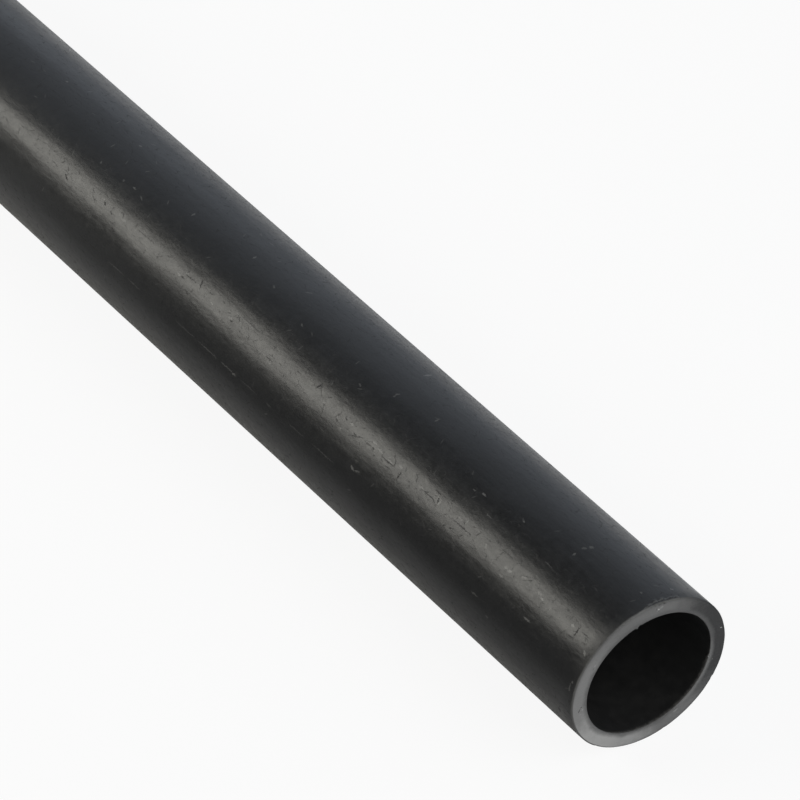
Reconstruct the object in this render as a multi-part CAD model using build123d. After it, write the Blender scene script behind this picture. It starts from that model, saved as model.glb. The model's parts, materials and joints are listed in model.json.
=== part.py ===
from build123d import *
import math
import os

# One cut length of thick-walled PVC pressure pipe, 2 inch nominal size, lying on its side.
# The pipe runs along X with its shown end at +X, and the ground is the plane Z = 0.
# Lengths are in millimetres and angles in degrees.

# Stock sizes
outside_diameter = 60.33
wall = 5.87
stock_length = 1000.0

# The saw cut of the shown end is a little out of square.
# The side is where the cut falls back furthest, measured about the pipe from +Y towards +Z.
shown_cut_lean = 3.7
shown_cut_back_side = 215.0

# Edges: the saw leaves sharp corners, which handling rounds outside and a scraper breaks inside
shown_outer_edge_radius = 0.5
shown_bore_edge_break = 0.15
far_outer_edge_radius = 0.5
far_bore_edge_break = 0.3

# Worked out from the sizes above
outer_radius = outside_diameter / 2
bore_radius = outer_radius - wall
far_x = -stock_length / 2
shown_tip_x = stock_length / 2
shown_cut_setback = outer_radius * math.tan(math.radians(shown_cut_lean))


def across_pipe(x):
    """The plane square across the pipe at x. Its own y points to the side where the cut falls back."""
    side = math.radians(shown_cut_back_side)
    return Plane(
        origin=(x, 0, outer_radius),
        x_dir=(0, math.sin(side), -math.cos(side)),
        z_dir=(1, 0, 0),
    )


def extruded_wall():
    """The tube as it is extruded, up to the furthest point of the shown end's cut."""
    section = across_pipe(far_x) * (Circle(outer_radius) - Circle(bore_radius))
    return extrude(section, amount=stock_length)


def saw_cut():
    """The plane of the shown end's cut. Its furthest point is at the full stock length."""
    square = across_pipe(shown_tip_x - shown_cut_setback)
    return Plane(square.location * Rotation(-shown_cut_lean, 0, 0))


def end_face(pipe, way):
    """The flat face of the far end (way -1) or of the shown end (way +1)."""
    flat = pipe.faces().filter_by(GeomType.PLANE)
    return flat.sort_by(Axis.X)[-1 if way > 0 else 0]


def broken_edges(pipe, way, outer_edge_radius, bore_edge_break):
    """The pipe with one end's outer edge rounded and its bore edge chamfered."""
    pipe = fillet(end_face(pipe, way).outer_wire().edges(), outer_edge_radius)
    return chamfer(end_face(pipe, way).inner_wires()[0].edges(), bore_edge_break)


pipe = split(extruded_wall(), bisect_by=saw_cut(), keep=Keep.BOTTOM)
pipe = broken_edges(pipe, +1, shown_outer_edge_radius, shown_bore_edge_break)
pipe = broken_edges(pipe, -1, far_outer_edge_radius, far_bore_edge_break)

os.makedirs("parts", exist_ok=True)
export_step(pipe, "parts/pipe.step")
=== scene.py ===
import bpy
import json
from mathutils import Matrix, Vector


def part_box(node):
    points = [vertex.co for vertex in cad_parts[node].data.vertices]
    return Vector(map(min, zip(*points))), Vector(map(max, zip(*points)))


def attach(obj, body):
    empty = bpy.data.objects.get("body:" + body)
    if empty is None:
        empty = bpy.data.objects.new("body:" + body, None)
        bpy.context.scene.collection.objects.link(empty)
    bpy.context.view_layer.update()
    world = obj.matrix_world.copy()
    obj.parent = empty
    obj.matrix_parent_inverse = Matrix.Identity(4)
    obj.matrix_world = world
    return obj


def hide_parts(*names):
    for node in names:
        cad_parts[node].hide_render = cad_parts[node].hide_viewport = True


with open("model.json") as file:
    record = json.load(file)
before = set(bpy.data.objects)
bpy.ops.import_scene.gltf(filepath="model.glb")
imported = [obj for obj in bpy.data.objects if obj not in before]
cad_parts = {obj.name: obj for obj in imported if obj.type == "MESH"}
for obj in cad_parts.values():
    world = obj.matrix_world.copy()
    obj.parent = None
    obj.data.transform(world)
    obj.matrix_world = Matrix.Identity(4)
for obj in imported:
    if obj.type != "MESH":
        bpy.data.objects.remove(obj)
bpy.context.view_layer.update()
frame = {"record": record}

import json
import math

import bpy
from bpy.props import FloatProperty, FloatVectorProperty, IntProperty, PointerProperty
from mathutils import Matrix, Vector

bl_info = {
    "name": "PVC pipe",
    "version": (1, 0, 0),
    "blender": (4, 5, 0),
    "location": "3D View > Sidebar > PVC pipe",
    "description": "Dresses a sawn length of thick-walled PVC pipe and sets up its studio",
    "category": "Object",
}

# Lengths are in metres, and in millimetres in the marks and the materials. The pipe runs along X and
# rests on Z = 0, and an angle about it is measured from +Y towards +Z.
MM = 1000.0

# What the frame says of the pipe
mounts = {mount["name"]: mount for mount in frame["record"]["mounts"]}
pipe_low, pipe_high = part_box("pipe")
pipe_radius = mounts["outside"]["dims"]["r_mm"] / MM
bore_radius = mounts["bore"]["dims"]["r_mm"] / MM
cut_normal = Vector(mounts["shown_end"]["axis"]).normalized()
cut_lean = math.atan2(math.hypot(*cut_normal.yz), cut_normal.x)
cut_back_side = math.atan2(cut_normal.z, cut_normal.y)
cut_axis_x = pipe_high.x - pipe_radius * math.tan(cut_lean)

# The parts of the wall's outline
SKIN, SAWN, BORE = range(3)

# How much of the shown end follows the cut's slant in full
rim_depth = 0.006


class PipeShape(bpy.types.PropertyGroup):
    """Sizes of the pipe's visible mesh and of the wear on its shown end"""

    around: IntProperty(
        name="Steps around",
        description="Faces round the pipe",
        default=480, min=32, max=1024,
    )
    outer_edge: FloatProperty(
        name="Outer edge radius",
        description="Rounding of the outer edge at both ends",
        default=0.0005, min=0.0001, max=0.002, precision=5, subtype="DISTANCE", unit="LENGTH",
    )
    shown_bore_edge: FloatProperty(
        name="Shown bore edge",
        description="How far the bore's edge is broken at the shown end",
        default=0.00015, min=0.00005, max=0.002, precision=5, subtype="DISTANCE", unit="LENGTH",
    )
    far_bore_edge: FloatProperty(
        name="Far bore edge",
        description="How far the bore's edge is broken at the far end",
        default=0.0003, min=0.00005, max=0.002, precision=5, subtype="DISTANCE", unit="LENGTH",
    )
    rim_wander: FloatProperty(
        name="Rim wander",
        description="How far the handled rims wander from a true edge",
        default=0.00006, min=0.0, max=0.0005, precision=5, subtype="DISTANCE", unit="LENGTH",
    )
    rim_seed: FloatProperty(
        name="Rim seed",
        description="Picks the pattern of the rims' wander",
        default=4.0, min=0.0, max=100.0,
    )
    cut_reach: FloatProperty(
        name="Cut reach",
        description="How far behind the cut the faces' own slant dies out",
        default=0.1, min=0.01, max=0.5, subtype="DISTANCE", unit="LENGTH",
    )


class PipeFinish(bpy.types.PropertyGroup):
    """Colours and sheen of the pipe"""

    skin: FloatVectorProperty(
        name="Skin",
        description="Colour of the extruded outside",
        default=(0.0125, 0.0129, 0.0136), min=0.0, max=1.0, size=3, subtype="COLOR",
    )
    scuff: FloatVectorProperty(
        name="Scuff",
        description="Colour of the light scuffs on the outside",
        default=(0.14, 0.14, 0.135), min=0.0, max=1.0, size=3, subtype="COLOR",
    )
    nick: FloatVectorProperty(
        name="Nick",
        description="Colour of the dark nicks and hairlines on the outside",
        default=(0.004, 0.004, 0.004), min=0.0, max=1.0, size=3, subtype="COLOR",
    )
    # Also the painted light on the sawn wall's lit side
    sawn_torn_lit: FloatVectorProperty(
        name="Torn sawn wall",
        description="Colour of the sawn wall where the saw tore it chalky",
        default=(0.30, 0.30, 0.295), min=0.0, max=1.0, size=3, subtype="COLOR",
    )
    # Also the painted shade on the sawn wall's shaded side and along its outer edge
    sawn_smooth_shaded: FloatVectorProperty(
        name="Smooth sawn wall",
        description="Colour of the sawn wall where the saw ran smooth",
        default=(0.021, 0.021, 0.021), min=0.0, max=1.0, size=3, subtype="COLOR",
    )
    sawn_fleck: FloatVectorProperty(
        name="Sawn fleck",
        description="Colour of the light flecks on the sawn wall",
        default=(0.42, 0.42, 0.41), min=0.0, max=1.0, size=3, subtype="COLOR",
    )
    sawn_crack: FloatVectorProperty(
        name="Sawn crack",
        description="Colour of the dark cracks in the sawn wall",
        default=(0.02, 0.02, 0.02), min=0.0, max=1.0, size=3, subtype="COLOR",
    )
    # Partly painted light: the sawn wall is palest towards this side
    lit_torn_side: FloatProperty(
        name="Torn side",
        description="The side of the sawn wall that is torn most, about the pipe from +Y towards +Z",
        default=math.radians(238), subtype="ANGLE", unit="ROTATION",
    )
    # Partly painted light: the sawn wall is paler towards this side
    lit_chalky_side: FloatProperty(
        name="Chalky side",
        description="The side of the sawn wall that is a little chalky, about the pipe",
        default=math.radians(190), subtype="ANGLE", unit="ROTATION",
    )
    # Partly painted shade: the sawn wall is darkest towards this side
    shaded_smooth_side: FloatProperty(
        name="Smooth side",
        description="The side of the sawn wall where the saw ran smooth, about the pipe",
        default=math.radians(10), subtype="ANGLE", unit="ROTATION",
    )
    # Partly a painted sheen: the rounded outer edge is paled towards this side
    rubbed_sheen_side: FloatProperty(
        name="Rubbed side",
        description="The side where the cut's outer edge is rubbed pale, about the pipe",
        default=math.radians(150), subtype="ANGLE", unit="ROTATION",
    )
    # Painted shade: the sawn wall's outer edge is darkened everywhere but on this lit side
    lit_edge_side: FloatProperty(
        name="Pale edge side",
        description="The side where the sawn wall stays pale up to its outer edge, about the pipe",
        default=math.radians(215), subtype="ANGLE", unit="ROTATION",
    )
    crumb_side: FloatProperty(
        name="Crumb side",
        description="The side of the bore where the cut's crumbs cling, about the pipe",
        default=math.radians(290), subtype="ANGLE", unit="ROTATION",
    )
    scraped: FloatProperty(
        name="Scraped",
        description="How chalky the scraped band beside the bore is",
        default=0.21, min=0.0, max=1.0, subtype="FACTOR",
    )
    # Painted highlight: the scraped band is palest towards this side
    scraped_lit_side: FloatProperty(
        name="Scraped side",
        description="The side where the scraped band is palest, about the pipe from +Y towards +Z",
        default=math.radians(330), subtype="ANGLE", unit="ROTATION",
    )
    hairlines: FloatProperty(
        name="Hairlines",
        description="How strongly the fine hairlines mark the outside",
        default=0.35, min=0.0, max=1.0, subtype="FACTOR",
    )
    bore: FloatVectorProperty(
        name="Bore",
        description="Colour of the inside",
        default=(0.0068, 0.0070, 0.0070), min=0.0, max=1.0, size=3, subtype="COLOR",
    )
    # Also the painted light on the bore's floor
    dust_and_light: FloatVectorProperty(
        name="Dust",
        description="Colour of the dust along the bottom of the bore",
        default=(0.08, 0.078, 0.074), min=0.0, max=1.0, size=3, subtype="COLOR",
    )
    crumbs: FloatVectorProperty(
        name="Crumbs",
        description="Colour of the cut's crumbs in the bore",
        default=(0.13, 0.127, 0.12), min=0.0, max=1.0, size=3, subtype="COLOR",
    )
    skin_roughness: FloatProperty(
        name="Skin roughness",
        description="Roughness of the extruded outside",
        default=0.34, min=0.0, max=1.0, subtype="FACTOR",
    )
    sawn_roughness: FloatProperty(
        name="Sawn roughness",
        description="Roughness of the sawn wall where it is chalky",
        default=0.7, min=0.0, max=1.0, subtype="FACTOR",
    )
    smooth_roughness: FloatProperty(
        name="Smooth sawn roughness",
        description="Roughness of the sawn wall where the saw ran smooth",
        default=0.45, min=0.0, max=1.0, subtype="FACTOR",
    )
    bore_roughness: FloatProperty(
        name="Bore roughness",
        description="Roughness of the inside",
        default=0.5, min=0.0, max=1.0, subtype="FACTOR",
    )
    sawn_specular: FloatProperty(
        name="Sawn specular",
        description="How strongly the sawn wall mirrors, 0.5 being plain plastic",
        default=0.35, min=0.0, max=1.0, subtype="FACTOR",
    )
    streaks: FloatProperty(
        name="Streaks",
        description="How much the die lines vary the colour",
        default=0.12, min=0.0, max=1.0, subtype="FACTOR",
    )


class PipeStage(bpy.types.PropertyGroup):
    """Camera and light of the studio"""

    azimuth: FloatProperty(
        name="Azimuth",
        description="Where the camera stands, 0 looking along +Y and 90 along -X",
        default=math.radians(54.15), subtype="ANGLE", unit="ROTATION",
    )
    elevation: FloatProperty(
        name="Elevation",
        description="How high above the horizon the camera stands",
        default=math.radians(39.65), subtype="ANGLE", unit="ROTATION",
    )
    focal: FloatProperty(
        name="Lens",
        description="Focal length in millimetres on a 36 mm sensor",
        default=227.4, min=10.0, max=1000.0,
    )
    distance: FloatProperty(
        name="Distance",
        description="Depth from the camera to the middle of the shown end",
        default=1.632, min=0.1, max=20.0, subtype="DISTANCE", unit="LENGTH",
    )
    end_across: FloatProperty(
        name="End across",
        description="Where the shown end's middle stands, right of the frame's middle in frame widths",
        default=0.3114, min=-0.5, max=0.5, subtype="FACTOR",
    )
    end_down: FloatProperty(
        name="End down",
        description="Where the shown end's middle stands, below the frame's middle in frame widths",
        default=0.3418, min=-0.5, max=0.5, subtype="FACTOR",
    )
    strip_level: FloatProperty(
        name="Strip level",
        description="Brightness of the long strip light, 1 being white",
        default=4.9, min=0.0, max=50.0,
    )
    strip_height: FloatProperty(
        name="Strip direction",
        description="Where the strip light hangs about the pipe, from +Y towards +Z",
        default=math.radians(142.8), subtype="ANGLE", unit="ROTATION",
    )
    back_level: FloatProperty(
        name="Back level",
        description="Brightness of the large light behind the pipe, 1 being white",
        default=0.52, min=0.0, max=50.0,
    )
    key_level: FloatProperty(
        name="Key level",
        description="Brightness of the light above the shown end, 1 being white",
        default=2.7, min=0.0, max=50.0,
    )
    front_level: FloatProperty(
        name="Front level",
        description="Brightness of the light before the shown end, 1 being white",
        default=3.0, min=0.0, max=50.0,
    )
    far_level: FloatProperty(
        name="Far level",
        description="Brightness of the round light beyond the far end, 1 being white",
        default=0.42, min=0.0, max=50.0,
    )
    room_level: FloatProperty(
        name="Room level",
        description="Brightness of the room's even light, 1 being white",
        default=0.04, min=0.0, max=10.0,
    )
    front_floor: FloatProperty(
        name="Front floor",
        description="How pale the pipe sees the floor before its shown end",
        default=0.165, min=0.0, max=1.0, subtype="FACTOR",
    )
    far_floor: FloatProperty(
        name="Far floor",
        description="How pale the pipe sees the floor before its far end",
        default=0.42, min=0.0, max=1.0, subtype="FACTOR",
    )
    floor_white: FloatProperty(
        name="Floor white",
        description="How far the camera sees the floor as plain white",
        default=0.9, min=0.0, max=1.0, subtype="FACTOR",
    )


# Node trees

def wire(tree, value, socket):
    """Feeds a socket with another socket's value or with a plain value."""
    if isinstance(value, bpy.types.NodeSocket):
        tree.links.new(value, socket)
    else:
        socket.default_value = value


def add(tree, kind, inputs=None, **settings):
    """A new node with its settings made and its inputs fed."""
    node = tree.nodes.new(kind)
    for name, value in settings.items():
        setattr(node, name, value)
    for key, value in (inputs or {}).items():
        wire(tree, value, node.inputs[key])
    return node


def calc(tree, operation, *values, clamp=False):
    """The result of a math node."""
    node = add(tree, "ShaderNodeMath", dict(enumerate(values)), operation=operation, use_clamp=clamp)
    return node.outputs[0]


def calc3(tree, operation, *values):
    """The result of a vector math node."""
    node = add(tree, "ShaderNodeVectorMath", dict(enumerate(values)), operation=operation)
    gives_number = operation in {"LENGTH", "DISTANCE", "DOT_PRODUCT"}
    return node.outputs["Value" if gives_number else "Vector"]


def remap(tree, value, low, high, to_low=0.0, to_high=1.0, smooth=False):
    """A value's place between low and high, carried over to another range."""
    node = add(
        tree, "ShaderNodeMapRange",
        {"Value": value, "From Min": low, "From Max": high, "To Min": to_low, "To Max": to_high},
        interpolation_type="SMOOTHSTEP" if smooth else "LINEAR",
    )
    return node.outputs["Result"]


def mix_colours(tree, share, first, second):
    """Two colours mixed by a share."""
    # the node has its colours after the sockets for numbers and vectors, under the same names
    node = add(tree, "ShaderNodeMix", {0: share, 6: first, 7: second}, data_type="RGBA")
    return node.outputs[2]


def noise(tree, vector, scale, detail=2.0, roughness=0.5):
    """A noise texture's value, about 0.5."""
    node = add(
        tree, "ShaderNodeTexNoise",
        {"Vector": vector, "Scale": scale, "Detail": detail, "Roughness": roughness},
    )
    return node.outputs[0]


def waves_of(tree, vector, scale, detail=2.0, roughness=0.5, spread=0.2):
    """A noise texture's value spread out to between -1 and 1."""
    value = noise(tree, vector, scale, detail, roughness)
    return remap(tree, value, 0.5 - spread, 0.5 + spread, -1.0, 1.0)


def xyz(tree, x, y, z):
    """A vector from its three parts."""
    return add(tree, "ShaderNodeCombineXYZ", {"X": x, "Y": y, "Z": z}).outputs["Vector"]


def split(tree, vector):
    """A vector's three parts."""
    node = add(tree, "ShaderNodeSeparateXYZ", {"Vector": vector})
    return node.outputs["X"], node.outputs["Y"], node.outputs["Z"]


def grouped(kind, name, inputs, outputs):
    """A new node group with named inputs and outputs, and its tree, input and output nodes."""
    tree = bpy.data.node_groups.new(name, kind)
    for label, socket_type, default in inputs:
        socket = tree.interface.new_socket(name=label, in_out="INPUT", socket_type=socket_type)
        if default is not None:
            socket.default_value = default
    for label, socket_type in outputs:
        tree.interface.new_socket(name=label, in_out="OUTPUT", socket_type=socket_type)
    return tree, tree.nodes.new("NodeGroupInput"), tree.nodes.new("NodeGroupOutput")


def linked_object(name, data):
    """A new object in the scene."""
    made = bpy.data.objects.new(name, data)
    bpy.context.scene.collection.objects.link(made)
    return made


# The pipe's shape

def spaced(start, end, fine_start, fine_end, coarse, growth=1.3):
    """Steps from start to end that are fine at the ends and grow towards the middle."""
    length = abs(end - start)
    from_start, from_end = [0.0], [0.0]
    step_start, step_end = fine_start, fine_end
    while from_start[-1] + from_end[-1] < length:
        if step_start <= step_end:
            from_start.append(from_start[-1] + step_start)
            step_start = min(step_start * growth, coarse)
        else:
            from_end.append(from_end[-1] + step_end)
            step_end = min(step_end * growth, coarse)
    excess = length / (from_start[-1] + from_end[-1])
    way = 1 if end > start else -1
    places = [start + way * excess * at for at in from_start]
    places += [end - way * excess * at for at in reversed(from_end[:-1])]
    return places


def wall_outline(shape):
    """The wall's outline, once round it: for each point its x from the cut's middle, its radius and the
    part of the wall that starts there."""
    edge, shown, far = shape.outer_edge, shape.shown_bore_edge, shape.far_bore_edge
    far_x = pipe_low.x - cut_axis_x
    points = []

    def run(places, part):
        points.extend((x, radius, part) for x, radius in places)

    # the skin, fine near the cut, and the cut's rounded edge
    along = spaced(far_x + edge, -rim_depth, fine_start=0.0004, fine_end=0.0004, coarse=0.028)
    run([(x, pipe_radius) for x in along[:-1]], SKIN)
    fine_steps, turn_steps = 18, 8
    fine = [(rim_depth - edge) * k / fine_steps - rim_depth for k in range(fine_steps)]
    run([(x, pipe_radius) for x in fine], SKIN)
    turn = [math.radians(90 * k / turn_steps) for k in range(turn_steps)]
    run([(edge * (math.sin(a) - 1), pipe_radius - edge * (1 - math.cos(a))) for a in turn], SKIN)
    # the sawn wall, with the bore's broken edge
    inner = bore_radius + shown
    across = spaced(pipe_radius - edge, inner, 0.00008, 0.00008, coarse=0.0004, growth=1.6)
    run([(0.0, radius) for radius in across[:-1]], SAWN)
    run([(-shown * k / 2, inner - shown * k / 2) for k in range(2)], SAWN)
    # the bore, fine in its mouth
    mouth = 0.004
    back = spaced(-shown, -mouth, 0.00008, 0.0004, coarse=0.0004, growth=1.5)
    run([(x, bore_radius) for x in back[:-1]], BORE)
    back = spaced(-mouth, far_x + far, 0.0004, 0.0003, coarse=0.035, growth=1.35)
    run([(x, bore_radius) for x in back[:-1]], BORE)
    # the far end, its face between a broken and a rounded edge
    run([(far_x + far * (1 - k / 2), bore_radius + far * k / 2) for k in range(2)], SAWN)
    across = spaced(bore_radius + far, pipe_radius - edge, 0.00008, 0.00008, coarse=0.0008, growth=2.0)
    run([(far_x, radius) for radius in across[:-1]], SAWN)
    turn_steps = 6
    turn = [math.radians(90 * k / turn_steps) for k in range(turn_steps)]
    run([(far_x + edge * (1 - math.cos(a)), pipe_radius - edge * (1 - math.sin(a))) for a in turn], SKIN)
    return points


def flat_strips(points):
    """For each of the outline's lines, where it starts and ends across its strip of the flat map, and
    where the strip starts and how tall it is. The skin has two strips, the near one larger drawn."""
    # on the flat map, whose sides are 1 long: the strips' spacing and where the faces' own ones begin
    gap = 0.006
    right = 0.905
    # what counts as near begins this far from the cut
    near_from = -0.42
    strips = {
        "far skin": (gap, right, gap, 0.40),
        "near skin": (gap, right, 2 * gap + 0.40, 0.40),
        "bore": (gap, right, 3 * gap + 0.80, 0.165),
        "shown face": (right + gap, 0.95, gap, 0.988),
        "far face": (0.956, 0.994, gap, 0.988),
    }
    count = len(points)
    names, lengths = [], []
    for k, (x, radius, part) in enumerate(points):
        next_x, next_radius, _ = points[(k + 1) % count]
        lengths.append(math.hypot(next_x - x, next_radius - radius))
        if part == SKIN:
            names.append("near skin" if x > near_from else "far skin")
        elif part == BORE:
            names.append("bore")
        else:
            names.append("shown face" if x > near_from else "far face")
    # the far skin runs over the outline's last point, so it is measured from the far face's end
    first = max(k for k in range(count) if names[k] == "far face") + 1
    walked = dict.fromkeys(strips, 0.0)
    spans = [None] * count
    for step in range(count):
        k = (first + step) % count
        spans[k] = (walked[names[k]], walked[names[k]] + lengths[k])
        walked[names[k]] += lengths[k]
    placed = []
    for k in range(count):
        left, end, low, tall = strips[names[k]]
        scale = (end - left) / walked[names[k]]
        placed.append((left + scale * spans[k][0], left + scale * spans[k][1], low, tall))
    return placed


def write_attribute(mesh, name, values):
    """Stores a number or a vector for each of a mesh's points."""
    if isinstance(values[0], tuple):
        made = mesh.attributes.new(name, "FLOAT_VECTOR", "POINT")
        made.data.foreach_set("vector", [part for value in values for part in value])
    else:
        made = mesh.attributes.new(name, "FLOAT", "POINT")
        made.data.foreach_set("value", values)


def outline_object(shape):
    """The outline as a closed line with what the node tree reads from it."""
    points = wall_outline(shape)
    count = len(points)
    mesh = bpy.data.meshes.new("pvc_pipe_extrusion")
    mesh.from_pydata(
        [(x, radius, 0.0) for x, radius, _ in points],
        [(k, (k + 1) % count) for k in range(count)],
        [],
    )
    strips = flat_strips(points)
    far_x = pipe_low.x - cut_axis_x
    to_rim = [math.hypot(min(abs(x), abs(x - far_x)), radius - pipe_radius) for x, radius, _ in points]
    write_attribute(mesh, "part", [float(part) for _, _, part in points])
    wander_reach = 0.0022
    write_attribute(mesh, "rim", [max(0.0, 1 - away / wander_reach) ** 1.5 for away in to_rim])
    write_attribute(mesh, "strip_span", [(strip[0], strip[1], 0.0) for strip in strips])
    write_attribute(mesh, "strip_rise", [(strip[2], strip[3], 0.0) for strip in strips])
    return linked_object("pvc_pipe_extrusion", mesh)


# Knocks on the shown end: angle in degrees, radius and x from the cut in millimetres, reach and depth
# in millimetres. A negative depth is a raised lip.
RIM_KNOCKS = (
    (93, 30.2, -1.1, 1.0, -0.18),
    (90, 30.1, -0.1, 0.9, 0.25),
    (87, 30.2, -1.9, 1.1, -0.24),
    (86.5, 30.1, -0.1, 0.9, 0.30),
    (83, 30.0, 0.0, 0.9, 0.36),
    (82, 30.2, -1.7, 1.1, -0.22),
    (76, 30.2, -1.1, 1.2, -0.20),
    (71.5, 30.2, -0.8, 1.2, -0.14),
    (85, 27.5, 0.0, 0.7, -0.12),
    (188, 27.0, 0.0, 0.6, 0.20),
    (14, 29.0, 0.0, 0.7, 0.18),
    (350, 24.3, -0.1, 0.9, -0.55),
    (346, 24.5, -0.1, 0.8, 0.30),
    (105, 24.3, -0.1, 0.8, -0.45),
    (102, 24.5, -0.1, 0.6, 0.20),
    (302, 25.5, 0.0, 1.0, 0.12),
    (142, 30.2, -2.4, 0.6, -0.10),
    (285, 29.9, -0.3, 1.0, 0.12),
    (230, 30.0, -0.2, 0.9, 0.10),
    (330, 30.0, -0.2, 1.2, 0.14),
)


def knocks_object():
    """The knocks as loose points with their reach and depth."""
    places = []
    for angle, radius, back, _, _ in RIM_KNOCKS:
        turn = math.radians(angle)
        y = radius / MM * math.cos(turn)
        z = radius / MM * math.sin(turn)
        x = cut_axis_x - (y * cut_normal.y + z * cut_normal.z) / cut_normal.x + back / MM
        places.append((x, y, pipe_radius + z))
    mesh = bpy.data.meshes.new("rim_knocks")
    mesh.from_pydata(places, [], [])
    write_attribute(mesh, "reach", [knock[3] / MM for knock in RIM_KNOCKS])
    write_attribute(mesh, "depth", [knock[4] / MM for knock in RIM_KNOCKS])
    return linked_object("rim_knocks", mesh)


def read_attribute(tree, name, kind="FLOAT"):
    """What a named attribute holds at each point."""
    node = add(tree, "GeometryNodeInputNamedAttribute", {"Name": name}, data_type=kind)
    return node.outputs["Attribute"]


def sample(tree, geometry, value, index, kind="FLOAT"):
    """What one of a geometry's points holds."""
    node = add(
        tree, "GeometryNodeSampleIndex", {"Geometry": geometry, "Value": value, "Index": index},
        data_type=kind, domain="POINT",
    )
    return node.outputs["Value"]


def on_faces(tree, value):
    """A value worked out once for each face."""
    node = add(tree, "GeometryNodeFieldOnDomain", {"Value": value}, domain="FACE", data_type="FLOAT")
    return node.outputs["Value"]


def store(tree, geometry, name, value, kind, domain):
    """The geometry with a named attribute stored on it."""
    node = add(
        tree, "GeometryNodeStoreNamedAttribute",
        {"Geometry": geometry, "Name": name, "Value": value},
        data_type=kind, domain=domain,
    )
    return node.outputs["Geometry"]


def pushed_out(tree, geometry, distance):
    """The geometry with its points moved along their normals."""
    normal = add(tree, "GeometryNodeInputNormal").outputs["Normal"]
    offset = calc3(tree, "MULTIPLY", normal, xyz(tree, distance, distance, distance))
    node = add(tree, "GeometryNodeSetPosition", {"Geometry": geometry, "Offset": offset})
    return node.outputs["Geometry"]


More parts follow.
